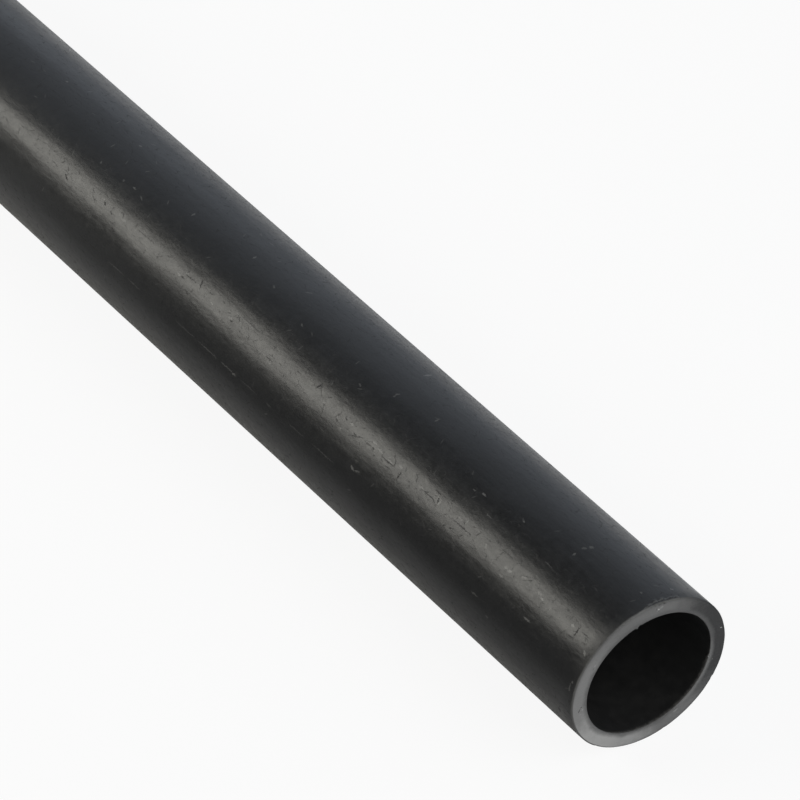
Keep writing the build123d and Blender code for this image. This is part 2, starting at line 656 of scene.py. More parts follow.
def wall_tree():
    """A grid with one edge along the outline and the other round the pipe, closed both ways, cut
    aslant at the shown end, knocked and given its materials."""
    tree, start, end = grouped(
        "GeometryNodeTree", "pipe wall",
        (
            ("Outline", "NodeSocketGeometry", None),
            ("Knocks", "NodeSocketObject", None),
            ("Steps Around", "NodeSocketInt", 480),
            ("Axis Height", "NodeSocketFloat", 0.03),
            ("Cut Middle", "NodeSocketFloat", 0.5),
            ("Cut Lean", "NodeSocketFloat", 0.06),
            ("Cut Back Side", "NodeSocketFloat", 3.75),
            ("Cut Reach", "NodeSocketFloat", 0.1),
            ("Rim Wander", "NodeSocketFloat", 0.0001),
            ("Rim Seed", "NodeSocketFloat", 0.0),
            ("Skin", "NodeSocketMaterial", None),
            ("Sawn", "NodeSocketMaterial", None),
            ("Inside", "NodeSocketMaterial", None),
        ),
        (("Pipe", "NodeSocketGeometry"),),
    )
    given = start.outputs
    outline = given["Outline"]
    size = add(tree, "GeometryNodeAttributeDomainSize", {"Geometry": outline}, component="MESH")
    count = size.outputs["Point Count"]
    grid = add(
        tree, "GeometryNodeMeshGrid",
        {
            "Size X": 1.0,
            "Size Y": 1.0,
            "Vertices X": calc(tree, "ADD", given["Steps Around"], 1.0),
            "Vertices Y": calc(tree, "ADD", count, 1.0),
        },
    )
    place = add(tree, "GeometryNodeInputPosition").outputs["Position"]
    grid_x, grid_y, _ = split(tree, place)
    round_share = calc(tree, "ADD", grid_x, 0.5)
    along = calc(tree, "MULTIPLY", calc(tree, "ADD", grid_y, 0.5), count)
    nearest = calc(tree, "ROUND", along)
    index = calc(tree, "MODULO", nearest, count)

    # the flat map, each face in its line's strip
    line = calc(tree, "FLOOR", on_faces(tree, along))
    span = sample(tree, outline, read_attribute(tree, "strip_span", "FLOAT_VECTOR"), line, "FLOAT_VECTOR")
    rise = sample(tree, outline, read_attribute(tree, "strip_rise", "FLOAT_VECTOR"), line, "FLOAT_VECTOR")
    span_start, span_end, _ = split(tree, span)
    low, tall, _ = split(tree, rise)
    flat_u = remap(tree, calc(tree, "SUBTRACT", nearest, line), 0.0, 1.0, span_start, span_end)
    flat_v = calc(tree, "MULTIPLY_ADD", round_share, tall, low)
    flat = xyz(tree, flat_u, flat_v, 0.0)
    made = store(tree, grid.outputs["Mesh"], "OFBake", flat, "FLOAT2", "CORNER")
    part = sample(tree, outline, read_attribute(tree, "part"), line)
    made = store(tree, made, "wall_part", part, "FLOAT", "FACE")
    rim = sample(tree, outline, read_attribute(tree, "rim"), index)
    made = store(tree, made, "wall_rim", rim, "FLOAT", "POINT")

    # round the axis, with the cut's slant dying out along the pipe
    at = sample(tree, outline, place, index, "FLOAT_VECTOR")
    at_x, radius, _ = split(tree, at)
    angle = calc(tree, "SUBTRACT", calc(tree, "MULTIPLY", round_share, 2 * math.pi), math.pi / 2)
    slant = calc(
        tree, "MULTIPLY",
        calc(tree, "MULTIPLY", radius, calc(tree, "TANGENT", given["Cut Lean"])),
        calc(tree, "COSINE", calc(tree, "SUBTRACT", angle, given["Cut Back Side"])),
    )
    hold = remap(tree, at_x, calc(tree, "MULTIPLY", given["Cut Reach"], -1.0), -rim_depth, smooth=True)
    x = calc(
        tree, "SUBTRACT",
        calc(tree, "ADD", at_x, given["Cut Middle"]),
        calc(tree, "MULTIPLY", slant, hold),
    )
    y = calc(tree, "MULTIPLY", radius, calc(tree, "COSINE", angle))
    z = calc(tree, "MULTIPLY_ADD", radius, calc(tree, "SINE", angle), given["Axis Height"])
    wrapped = add(
        tree, "GeometryNodeSetPosition",
        {"Geometry": made, "Position": xyz(tree, x, y, z)},
    )
    closed = add(
        tree, "GeometryNodeMergeByDistance",
        {"Geometry": wrapped.outputs["Geometry"], "Distance": 0.000001},
    )

    # the rims' wander
    moved = calc3(tree, "ADD", place, xyz(tree, given["Rim Seed"], 0.0, 0.0))
    wander = calc(tree, "MULTIPLY", waves_of(tree, moved, 260.0, 3.0, spread=0.25), given["Rim Wander"])
    wander = calc(tree, "MULTIPLY", wander, read_attribute(tree, "wall_rim"))
    roughened = pushed_out(tree, closed.outputs["Geometry"], wander)

    # the knocks
    knocks = add(
        tree, "GeometryNodeObjectInfo", {"Object": given["Knocks"]}, transform_space="ORIGINAL",
    ).outputs["Geometry"]
    near = add(
        tree, "GeometryNodeSampleNearest", {"Geometry": knocks, "Sample Position": place},
        domain="POINT",
    ).outputs["Index"]
    knock_place = sample(tree, knocks, place, near, "FLOAT_VECTOR")
    reach = sample(tree, knocks, read_attribute(tree, "reach"), near)
    depth = sample(tree, knocks, read_attribute(tree, "depth"), near)
    away = calc(tree, "DIVIDE", calc3(tree, "DISTANCE", place, knock_place), reach)
    sunk = calc(tree, "MULTIPLY", remap(tree, away, 0.0, 1.0, -1.0, 0.0, smooth=True), depth)
    knocked = pushed_out(tree, roughened, sunk)

    smooth = add(tree, "GeometryNodeSetShadeSmooth", {"Geometry": knocked})
    real = add(tree, "GeometryNodeRealizeInstances", {"Geometry": smooth.outputs["Geometry"]})
    skinned = add(
        tree, "GeometryNodeSetMaterial",
        {"Geometry": real.outputs["Geometry"], "Material": given["Skin"]},
    )
    made = skinned.outputs["Geometry"]
    for number, label in ((SAWN, "Sawn"), (BORE, "Inside")):
        chosen = add(
            tree, "FunctionNodeCompare",
            {"A": read_attribute(tree, "wall_part"), "B": float(number), "Epsilon": 0.1},
            data_type="FLOAT", operation="EQUAL",
        )
        painted = add(
            tree, "GeometryNodeSetMaterial",
            {"Geometry": made, "Selection": chosen.outputs["Result"], "Material": given[label]},
        )
        made = painted.outputs["Geometry"]
    tree.links.new(made, end.inputs["Pipe"])
    return tree


def set_inputs(modifier, values):
    """Sets a modifier's inputs by the names they have in its tree."""
    for item in modifier.node_group.interface.items_tree:
        if item.in_out == "INPUT" and item.name in values:
            modifier[item.identifier] = values[item.name]


def plain_mesh(piece):
    """The piece's modifier turned into a plain mesh."""
    graph = bpy.context.evaluated_depsgraph_get()
    mesh = bpy.data.meshes.new_from_object(piece.evaluated_get(graph), depsgraph=graph)
    old = piece.data
    piece.modifiers.clear()
    piece.data = mesh
    bpy.data.meshes.remove(old)
    # the grid brings an empty slot before the materials' own
    mesh.materials.pop(index=0)
    mesh.name = piece.name
    for name in ("wall_part", "wall_rim"):
        if name in mesh.attributes:
            mesh.attributes.remove(mesh.attributes[name])


# Marks on the skin: x in millimetres, angle about the pipe in degrees, length and width in millimetres,
# turn from the pipe's length in degrees, and strength, which is above 0 for a light mark and below 0
# for a dark one

# One long scratch down the front, in broken lengths
LONG_SCRATCH = (
    (213, 163, 17.0, 0.6, 0, -0.45),
    (230, 163, 11.5, 0.5, 0, 0.3),
    (241, 163, 9.0, 0.5, 0, 0.3),
    (273, 162, 14.0, 0.5, 0, 0.2),
    (287, 162, 14.0, 0.5, 0, 0.4),
    (299, 162, 9.5, 0.5, 0, 0.45),
    (303, 162.5, 2.5, 1.0, 0, 0.6),
    (312, 162, 11.5, 0.4, 0, 0.25),
    (324, 162, 3.5, 0.5, 0, 0.25),
    (340, 162, 12.0, 0.4, 0, 0.25),
    (356, 161.5, 14.0, 0.4, 0, 0.35),
)

# Nicks and dark hairlines along the upper front
NICKS = (
    (188, 137, 3.5, 0.7, 25, -0.6),
    (211, 133, 2.0, 0.8, 20, -0.5),
    (216, 135, 2.0, 0.8, 20, -0.5),
    (236, 131, 12.0, 0.4, 0, -0.35),
    (261, 135, 2.5, 0.6, 0, -0.5),
    (264, 132, 5.5, 0.5, 0, -0.45),
    (267, 141, 2.0, 0.9, 25, -0.5),
    (270, 130, 4.5, 0.7, 65, -0.65),
    (275, 125, 8.0, 0.4, 0, -0.4),
    (291, 135, 2.0, 0.6, 0, -0.45),
    (300, 128, 14.0, 0.4, 0, -0.35),
    (315, 137, 5.0, 0.6, 0, -0.4),
    (340, 128, 4.0, 0.8, 110, -0.6),
    (347, 137, 6.0, 0.5, 65, -0.4),
    (355, 137, 1.5, 0.8, 20, -0.5),
    (358, 132, 2.0, 0.8, 20, -0.6),
    (365, 136, 2.0, 0.7, 0, -0.35),
    (366, 136.5, 8.0, 0.5, 155, -0.4),
    (372, 135, 5.0, 0.5, 0, -0.3),
    (375, 135, 1.8, 0.7, 0, -0.45),
    (383.5, 135, 9.0, 0.5, 0, -0.4),
    (385, 138, 5.0, 0.4, 0, -0.4),
    (390.5, 137, 3.5, 0.6, 90, -0.7),
    (405.5, 133.5, 8.0, 0.5, 0, -0.45),
    (408, 128, 4.0, 0.6, 0, -0.4),
    (410, 132, 2.5, 0.6, 65, -0.5),
    (415, 126, 1.5, 0.6, 0, -0.5),
    (418, 141, 2.0, 0.6, 135, -0.5),
    (421, 139.5, 2.5, 0.6, 155, -0.5),
    (425, 134.5, 12.5, 0.5, 0, -0.35),
    (441, 110, 2.0, 0.7, 25, -0.55),
    (446, 128, 9.0, 0.4, 0, -0.35),
    (462, 146, 3.0, 1.0, 90, -0.6),
    (463, 117, 4.0, 0.5, 0, -0.45),
    (474, 156, 1.5, 0.9, 25, -0.45),
    (485.8, 140, 3.0, 0.6, 0, -0.4),
    (486.8, 135.5, 4.5, 0.7, 90, -0.5),
    (490.4, 133, 4.0, 0.5, 0, -0.35),
)

# Light scuffs, most of them towards the shown end
SCUFFS = (
    (151, 85, 1.5, 0.9, 0, 0.4),
    (196, 114, 1.5, 0.9, 65, 0.35),
    (199, 85, 1.5, 1.0, 0, 0.35),
    (209, 131, 2.0, 0.7, 0, 0.4),
    (210, 113, 1.5, 0.8, 0, 0.3),
    (216, 112, 2.5, 0.9, 0, 0.5),
    (222, 114, 3.0, 0.5, 20, 0.35),
    (223, 133, 3.0, 1.0, 0, 0.35),
    (243, 98, 2.0, 1.0, 90, 0.4),
    (259, 135, 2.0, 0.9, 0, 0.45),
    (262, 131, 2.0, 0.8, 0, 0.4),
    (265, 72, 2.5, 0.9, 25, 0.25),
    (276, 92, 2.0, 0.8, 90, 0.4),
    (279, 135, 2.5, 0.7, 0, 0.4),
    (290, 134, 2.5, 1.0, 0, 0.5),
    (293, 99, 2.0, 0.7, 20, 0.35),
    (295, 132, 2.0, 0.8, 0, 0.35),
    (303, 84, 3.0, 1.0, 135, 0.25),
    (315, 106, 2.0, 0.8, 25, 0.4),
    (316, 138.5, 3.5, 0.9, 0, 0.45),
    (346, 134, 1.5, 1.2, 0, 0.5),
    (352, 110, 2.0, 0.8, 25, 0.35),
    (358, 131.5, 1.5, 1.0, 0, 0.4),
    (358, 140, 2.5, 0.8, 0, 0.45),
    (361, 68, 4.5, 1.1, 100, 0.5),
    (361.5, 132.5, 2.0, 1.0, 0, 0.6),
    (365, 100, 2.0, 0.7, 90, 0.3),
    (365, 98, 2.0, 0.7, 135, 0.35),
    (371, 154.5, 3.0, 0.9, 25, 0.75),
    (373.5, 154, 3.5, 0.6, 160, 0.6),
    (374, 131.5, 2.5, 0.8, 0, 0.5),
    (378, 133, 4.0, 0.7, 0, 0.55),
    (384, 93, 2.5, 0.9, 90, 0.35),
    (384, 134, 3.5, 0.7, 0, 0.5),
    (389, 132, 2.5, 0.8, 0, 0.6),
    (401, 133, 3.5, 0.7, 0, 0.5),
    (409, 130, 2.0, 0.8, 0, 0.3),
    (411, 132.5, 2.0, 1.0, 90, 0.6),
    (418, 112, 1.5, 0.8, 0, 0.4),
    (418, 134, 1.5, 0.8, 0, 0.4),
    (422, 110, 2.5, 0.7, 0, 0.65),
    (422, 131, 3.0, 0.7, 0, 0.5),
    (425, 130, 2.0, 0.7, 90, 0.4),
    (430, 118, 3.5, 0.5, 0, 0.45),
    (437, 133, 2.5, 0.9, 45, 0.45),
    (441, 106, 1.5, 0.7, 20, 0.55),
    (442, 163, 4.0, 0.6, 0, 0.4),
    (446, 123, 2.0, 1.0, 0, 0.2),
    (449, 135, 2.0, 0.9, 0, 0.75),
    (449, 141, 2.0, 1.0, 0, 0.7),
    (450, 170, 2.0, 0.8, 0, 0.3),
    (451, 135, 2.5, 1.0, 160, 0.7),
    (457, 132, 2.0, 0.7, 160, 0.45),
    (461, 116, 4.5, 0.5, 0, 0.3),
    (464, 100, 1.5, 1.0, 90, 0.45),
    (464, 92, 2.0, 1.2, 145, 0.3),
    (465, 88, 2.0, 1.4, 155, 0.35),
    (466, 133, 2.5, 0.9, 0, 0.6),
    (467, 151, 4.0, 0.8, 0, 0.75),
    (468, 134.5, 2.5, 1.0, 0, 0.65),
    (484, 134, 2.0, 1.0, 0, 0.7),
    (491.7, 89, 1.2, 1.0, 0, 0.35),
    (494, 142, 2.5, 0.9, 45, 0.85),
    (494, 167, 4.0, 0.7, 100, 0.45),
    (494.4, 68.8, 1.6, 0.9, 90, 0.6),
    (494.5, 162.5, 1.3, 1.0, 90, 0.6),
)

# A painted shadow of the raised burr along the shown end's upper edge, and behind it the burr's
# crest as a painted highlight
BURR_SHADOW_AND_HIGHLIGHT = (
    (499.1, 92, 2.0, 0.6, 90, -0.5),
    (498.9, 88, 2.5, 0.8, 90, -0.6),
    (499.1, 84, 2.5, 0.8, 90, -0.6),
    (499.0, 79, 2.5, 0.6, 90, -0.5),
    (498.9, 74, 3.5, 0.6, 90, -0.5),
    (498.8, 104, 4.0, 0.6, 90, 0.2),
    (498.6, 99, 3.0, 0.8, 90, 0.3),
    (498.2, 95, 2.5, 0.9, 90, 0.35),
    (497.9, 91, 2.5, 0.9, 90, 0.35),
    (497.8, 87, 2.5, 0.9, 90, 0.35),
    (497.9, 83, 2.5, 0.8, 90, 0.4),
    (498.1, 78.5, 3.0, 0.7, 90, 0.35),
    (498.4, 73, 3.0, 0.6, 90, 0.2),
)

# Marks on the sawn wall: y and z from the axis, length and width in millimetres, turn from +Y in
# degrees, and strength
SAWN_MARKS = (
    (28.0, 6.5, 0.7, 0.6, 0, 0.7),
    (25.5, -6.5, 0.8, 0.5, 65, 0.3),
    (23.5, -4.5, 1.5, 0.7, 110, 0.5),
    (-27.1, -2.9, 2.2, 0.6, 65, -0.9),
    (-26.4, -1.6, 0.9, 0.6, 0, -0.7),
    (-25.8, -2.9, 0.9, 0.7, 45, 0.25),
    (-26.6, -4.9, 0.8, 0.6, 0, 0.2),
    (1.9, 27.6, 0.9, 0.8, 45, 0.7),
    (3.0, 28.0, 1.7, 1.3, 20, 0.2),
    (1.1, 28.1, 0.5, 1.0, 0, -0.5),
    (1.5, 27.0, 0.5, 0.5, 0, 0.3),
    (1.9, 26.8, 0.9, 0.4, 0, -0.4),
    (1.0, 29.7, 1.6, 0.5, 0, -0.6),
    (2.6, 29.6, 2.0, 0.8, 0, -0.7),
    (4.2, 29.2, 1.4, 0.8, 0, -0.7),
    (-6.0, 23.0, 1.4, 0.9, 20, -0.6),
    (12.0, -23.0, 2.5, 0.9, 20, 0.2),
    (12.5, -22.0, 3.0, 0.5, 20, -0.3),
    (-22.5, 13.5, 1.5, 0.5, 65, -0.35),
    (-22.0, 14.5, 1.0, 0.5, 45, 0.25),
)


# The finish

def surface_group():
    """Millimetre places for the finish: unrolled, round the axis, drawn out along the pipe, and how far
    behind the shown cut."""
    tree, start, end = grouped(
        "ShaderNodeTree", "pipe places",
        (
            ("Place", "NodeSocketVector", None),
            ("Axis Height", "NodeSocketFloat", 0.03),
            ("Stretch", "NodeSocketFloat", 20.0),
        ),
        (
            ("Unrolled", "NodeSocketVector"),
            ("Round Axis", "NodeSocketVector"),
            ("Drawn Out", "NodeSocketVector"),
            ("Behind Cut", "NodeSocketFloat"),
        ),
    )
    given = start.outputs
    lowered = calc3(tree, "SUBTRACT", given["Place"], xyz(tree, 0.0, 0.0, given["Axis Height"]))
    shifted = calc3(tree, "MULTIPLY", lowered, (MM, MM, MM))
    x, y, z = split(tree, shifted)
    turn = calc(tree, "ARCTAN2", calc(tree, "MULTIPLY", y, -1.0), z)
    arc = calc(tree, "MULTIPLY", turn, calc(tree, "MULTIPLY", given["Axis Height"], MM))
    wire(tree, xyz(tree, x, arc, 0.0), end.inputs["Unrolled"])
    wire(tree, shifted, end.inputs["Round Axis"])
    drawn = xyz(tree, calc(tree, "DIVIDE", x, given["Stretch"]), y, z)
    wire(tree, drawn, end.inputs["Drawn Out"])
    along = calc3(tree, "DOT_PRODUCT", shifted, tuple(cut_normal))
    behind = calc(tree, "SUBTRACT", MM * cut_axis_x * cut_normal.x, along)
    wire(tree, behind, end.inputs["Behind Cut"])
    return tree


def streak_group():
    """Die lines along the pipe and the slow waves of its wall."""
    tree, start, end = grouped(
        "ShaderNodeTree", "extrusion streaks",
        (
            ("Drawn Out", "NodeSocketVector", None),
            ("Round Axis", "NodeSocketVector", None),
            ("Fine", "NodeSocketFloat", 0.9),
            ("Coarse", "NodeSocketFloat", 0.22),
            ("Waves", "NodeSocketFloat", 0.055),
            ("Lumps", "NodeSocketFloat", 0.45),
            ("Grain", "NodeSocketFloat", 1.2),
        ),
        (("Tone", "NodeSocketFloat"), ("Height", "NodeSocketFloat")),
    )
    given = start.outputs
    fine = waves_of(tree, given["Drawn Out"], given["Fine"], 2.0, 0.6, spread=0.25)
    coarse = waves_of(tree, given["Drawn Out"], given["Coarse"], 1.0, spread=0.25)
    tone = calc(tree, "MULTIPLY_ADD", coarse, 0.5, calc(tree, "MULTIPLY", fine, 0.5))
    wire(tree, tone, end.inputs["Tone"])
    # how tall each of them is either way, in millimetres
    height = calc(tree, "MULTIPLY", fine, 0.0035)
    height = calc(tree, "MULTIPLY_ADD", coarse, 0.022, height)
    squeezed = calc3(tree, "MULTIPLY", given["Round Axis"], (0.5, 1.0, 1.0))
    for name, tall in (("Waves", 0.13), ("Lumps", 0.014), ("Grain", 0.0045)):
        value = waves_of(tree, squeezed, given[name], 1.0, spread=0.25)
        height = calc(tree, "MULTIPLY_ADD", value, tall, height)
    wire(tree, height, end.inputs["Height"])
    return tree


def mark_group():
    """One soft-edged oval mark. A single vector goes from mark to mark: the unrolled place in its X and
    Y, and the marks so far in its Z, so that the marks are worked out one after the other."""
    tree, start, end = grouped(
        "ShaderNodeTree", "mark",
        (
            ("Place And Marks", "NodeSocketVector", None),
            ("Scale", "NodeSocketVector", None),
            ("Offset", "NodeSocketVector", None),
            ("Strength", "NodeSocketVector", None),
        ),
        (("Place And Marks", "NodeSocketVector"),),
    )
    given = start.outputs
    local = calc3(tree, "MULTIPLY_ADD", given["Place And Marks"], given["Scale"], given["Offset"])
    away = calc3(tree, "DOT_PRODUCT", local, local)
    mark = calc(tree, "MULTIPLY_ADD", away, -1.5, 1.5, clamp=True)
    added = calc3(tree, "MULTIPLY_ADD", mark, given["Strength"], given["Place And Marks"])
    wire(tree, added, end.inputs["Place And Marks"])
    return tree


def marks_group(marks):
    """Marks at their places on a flat surface, with ragged outlines. Light marks add to the result, dark
    ones take away. One turned place serves all the marks of nearly one direction."""
    single = mark_group()
    tree, start, end = grouped(
        "ShaderNodeTree", "placed marks",
        (("Place", "NodeSocketVector", None), ("Ragged", "NodeSocketFloat", 0.9)),
        (("Marks", "NodeSocketFloat"),),
    )
    given = start.outputs
    blur = add(
        tree, "ShaderNodeTexNoise", {"Vector": given["Place"], "Scale": 1.7, "Detail": 1.0}
    ).outputs["Color"]
    centred = calc3(tree, "SUBTRACT", blur, (0.5, 0.5, 0.5))
    rag = given["Ragged"]
    ragged = calc3(tree, "MULTIPLY_ADD", centred, xyz(tree, rag, rag, 0.0), given["Place"])
    step = 22.5
    so_far = 0.0
    for bearing in range(4):
        turn = math.radians(bearing * step)
        turned = add(
            tree, "ShaderNodeVectorRotate", {"Vector": ragged, "Angle": -turn}, rotation_type="Z_AXIS"
        ).outputs["Vector"]
        chain = calc3(tree, "ADD", turned, xyz(tree, 0.0, 0.0, so_far))
        for across, up, length, width, along, strength in marks:
            quarters, nearest = divmod(round(along / step), 4)
            if nearest != bearing:
                continue
            size = (length / 2, width / 2) if quarters % 2 == 0 else (width / 2, length / 2)
            middle = (
                across * math.cos(turn) + up * math.sin(turn),
                up * math.cos(turn) - across * math.sin(turn),
            )
            mark = add(tree, "ShaderNodeGroup", node_tree=single)
            wire(tree, chain, mark.inputs["Place And Marks"])
            mark.inputs["Scale"].default_value = (1 / size[0], 1 / size[1], 0)
            mark.inputs["Offset"].default_value = (-middle[0] / size[0], -middle[1] / size[1], 0)
            mark.inputs["Strength"].default_value = (0, 0, strength)
            chain = mark.outputs["Place And Marks"]
        so_far = split(tree, chain)[2]
    wire(tree, so_far, end.inputs["Marks"])
    return tree


def scatter_group():
    """Small scuffs scattered by chance, each a short stroke turned its own way."""
    tree, start, end = grouped(
        "ShaderNodeTree", "scattered scuffs",
        (
            ("Unrolled", "NodeSocketVector", None),
            ("Spacing", "NodeSocketFloat", 9.0),
            ("Length", "NodeSocketFloat", 1.4),
            ("Width", "NodeSocketFloat", 0.35),
            ("Chance", "NodeSocketFloat", 0.5),
            ("Seed", "NodeSocketFloat", 0.0),
        ),
        (("Marks", "NodeSocketFloat"),),
    )
    given = start.outputs
    spacing = xyz(tree, given["Spacing"], given["Spacing"], 1.0)
    scaled = calc3(tree, "DIVIDE", given["Unrolled"], spacing)
    moved = calc3(tree, "ADD", scaled, xyz(tree, given["Seed"], 0.0, 0.0))
    cells = add(tree, "ShaderNodeTexVoronoi", {"Vector": moved, "Scale": 1.0}, voronoi_dimensions="2D")
    from_point = calc3(
        tree, "MULTIPLY", calc3(tree, "SUBTRACT", moved, cells.outputs["Position"]), spacing
    )
    pick, turn, power = split(tree, cells.outputs["Color"])
    turned = add(
        tree, "ShaderNodeVectorRotate",
        {"Vector": from_point, "Angle": calc(tree, "MULTIPLY", turn, math.pi)},
        rotation_type="Z_AXIS",
    ).outputs["Vector"]
    local = calc3(tree, "DIVIDE", turned, xyz(tree, given["Length"], given["Width"], 1.0))
    stroke = remap(tree, calc3(tree, "LENGTH", local), 1.0, 0.3, smooth=True)
    kept = calc(tree, "LESS_THAN", pick, given["Chance"])
    strength = calc(tree, "MULTIPLY_ADD", power, 0.6, 0.4)
    wire(tree, calc(tree, "MULTIPLY", calc(tree, "MULTIPLY", stroke, kept), strength), end.inputs["Marks"])
    return tree


def hairline_group():
    """A broken net of hairlines drawn out along the pipe, as handling leaves them."""
    tree, start, end = grouped(
        "ShaderNodeTree", "hairlines",
        (
            ("Unrolled", "NodeSocketVector", None),
            ("Length", "NodeSocketFloat", 7.0),
            ("Width", "NodeSocketFloat", 3.2),
        ),
        (("Lines", "NodeSocketFloat"),),
    )
    given = start.outputs
    place = given["Unrolled"]
    blur = add(tree, "ShaderNodeTexNoise", {"Vector": place, "Scale": 0.35, "Detail": 2.0}).outputs["Color"]
    warped = calc3(tree, "MULTIPLY_ADD", blur, (3.0, 3.0, 0.0), place)
    scaled = calc3(tree, "DIVIDE", warped, xyz(tree, given["Length"], given["Width"], 1.0))
    cells = add(
        tree, "ShaderNodeTexVoronoi", {"Vector": scaled, "Scale": 1.0},
        voronoi_dimensions="2D", feature="DISTANCE_TO_EDGE",
    )
    line = remap(tree, cells.outputs["Distance"], 0.055, 0.015, smooth=True)
    broken = remap(tree, noise(tree, place, 0.4, 2.0, 0.6), 0.48, 0.62, smooth=True)
    wire(tree, calc(tree, "MULTIPLY", line, broken), end.inputs["Lines"])
    return tree


def lean_group():
    """How far a place lies towards a side of the pipe, from -1 to 1."""
    tree, start, end = grouped(
        "ShaderNodeTree", "lean to a side",
        (("Round Axis", "NodeSocketVector", None), ("Side", "NodeSocketFloat", 0.0)),
        (("Lean", "NodeSocketFloat"),),
    )
    given = start.outputs
    across = calc3(tree, "MULTIPLY", given["Round Axis"], (0.0, 1.0, 1.0))
    side = xyz(tree, 0.0, calc(tree, "COSINE", given["Side"]), calc(tree, "SINE", given["Side"]))
    wire(tree, calc3(tree, "DOT_PRODUCT", calc3(tree, "NORMALIZE", across), side), end.inputs["Lean"])
    return tree


def use_group(tree, group, inputs):
    """What a node group puts out for the given inputs."""
    node = add(tree, "ShaderNodeGroup", node_tree=group)
    for key, value in inputs.items():
        wire(tree, value, node.inputs[key])
    return node.outputs


def places_on_pipe(tree, places):
    """The places of a shaded point that the finish goes by."""
    place = add(tree, "ShaderNodeTexCoord").outputs["Object"]
    return use_group(tree, places, {"Place": place, "Axis Height": pipe_radius})


def lean_to(tree, leans, round_axis, side):
    """How far a shaded point lies towards a side of the pipe."""
    return use_group(tree, leans, {"Round Axis": round_axis, "Side": side})["Lean"]


def light_and_dark(tree, marks):
    """Masks for the light and for the dark marks."""
    light = calc(tree, "MAXIMUM", marks, 0.0)
    return light, calc(tree, "MAXIMUM", calc(tree, "MULTIPLY", marks, -1.0), 0.0)


def bumped(tree, height):
    """A normal for heights in millimetres."""
    bump = add(tree, "ShaderNodeBump", {"Strength": 1.0, "Distance": 0.001, "Height": height})
    return bump.outputs["Normal"]


def new_material(name):
    """A new material with its tree and its shader."""
    material = bpy.data.materials.new(name)
    material.use_nodes = True
    tree = material.node_tree
    return material, tree, tree.nodes["Principled BSDF"]


def skin_material(finish, places, streaks, leans):
    """The extruded outside: dark satin grey with die lines, nicks and scuffs, and a duller rim."""
    material, tree, shader = new_material("pvc_skin")
    at = places_on_pipe(tree, places)
    drawn = use_group(tree, streaks, {"Drawn Out": at["Drawn Out"], "Round Axis": at["Round Axis"]})
    to_arc = math.radians(pipe_radius * MM)
    placed = LONG_SCRATCH + NICKS + SCUFFS + BURR_SHADOW_AND_HIGHLIGHT
    unrolled = [(x, (angle - 90) * to_arc, *others) for x, angle, *others in placed]
    marks = use_group(tree, marks_group(unrolled), {"Place": at["Unrolled"]})["Marks"]
    light, dark = light_and_dark(tree, marks)
    scatter = scatter_group()
    strewn_light = use_group(
        tree, scatter, {"Unrolled": at["Unrolled"], "Spacing": 10.0, "Chance": 0.4, "Seed": 3.0}
    )["Marks"]
    strewn_dark = use_group(
        tree, scatter,
        {
            "Unrolled": at["Unrolled"], "Spacing": 5.0, "Length": 0.7, "Width": 0.25,
            "Chance": 0.45, "Seed": 41.0,
        },
    )["Marks"]
    hairlines = use_group(tree, hairline_group(), {"Unrolled": at["Unrolled"]})["Lines"]
    # how strongly the strewn marks show beside the placed ones
    light = calc(tree, "MAXIMUM", light, calc(tree, "MULTIPLY", strewn_light, 0.3))
    dark = calc(tree, "MAXIMUM", dark, calc(tree, "MULTIPLY", strewn_dark, 0.4))
    dark = calc(tree, "MAXIMUM", dark, calc(tree, "MULTIPLY", hairlines, finish.hairlines))

    tone = drawn["Tone"]
    mottle = waves_of(tree, at["Round Axis"], 0.3, 3.0, 0.6)
    shade = calc(tree, "MULTIPLY_ADD", tone, finish.streaks, 1.0)
    shade = calc(tree, "MULTIPLY_ADD", mottle, finish.streaks * 0.7, shade)
    plain = calc3(tree, "MULTIPLY", tuple(finish.skin), xyz(tree, shade, shade, shade))
    nicked = mix_colours(tree, dark, plain, (*finish.nick, 1))
    scuffed = mix_colours(tree, light, nicked, (*finish.scuff, 1))

    # the rounded edge of the cut, rubbed pale on one side, partly a painted sheen
    behind = calc(tree, "MULTIPLY_ADD", mottle, 0.15, at["Behind Cut"])
    edge = remap(tree, behind, 0.9, 0.1, smooth=True)
    rubbed_sheen_side = lean_to(tree, leans, at["Round Axis"], finish.rubbed_sheen_side)
    rubbed_sheen = calc(tree, "MULTIPLY", edge, remap(tree, rubbed_sheen_side, -0.5, 0.55, 0.0, 0.62, smooth=True))
    wire(tree, mix_colours(tree, rubbed_sheen, scuffed, (*finish.scuff, 1)), shader.inputs["Base Color"])

    # how much rougher each makes the skin, with a handled rim a few millimetres wide
    grain = waves_of(tree, at["Round Axis"], 0.9, 2.0, 0.6)
    rough = finish.skin_roughness
    for mask, more in ((tone, 0.04), (mottle, 0.03), (grain, 0.02), (dark, 0.5)):
        rough = calc(tree, "MULTIPLY_ADD", mask, more, rough)
    rough = calc(tree, "ADD", remap(tree, behind, 6.0, 1.0, 0.0, 0.12, smooth=True), rough)
    rough = calc(tree, "MULTIPLY_ADD", edge, 0.3, rough, clamp=True)
    wire(tree, rough, shader.inputs["Roughness"])
    wire(tree, bumped(tree, drawn["Height"]), shader.inputs["Normal"])
    return material


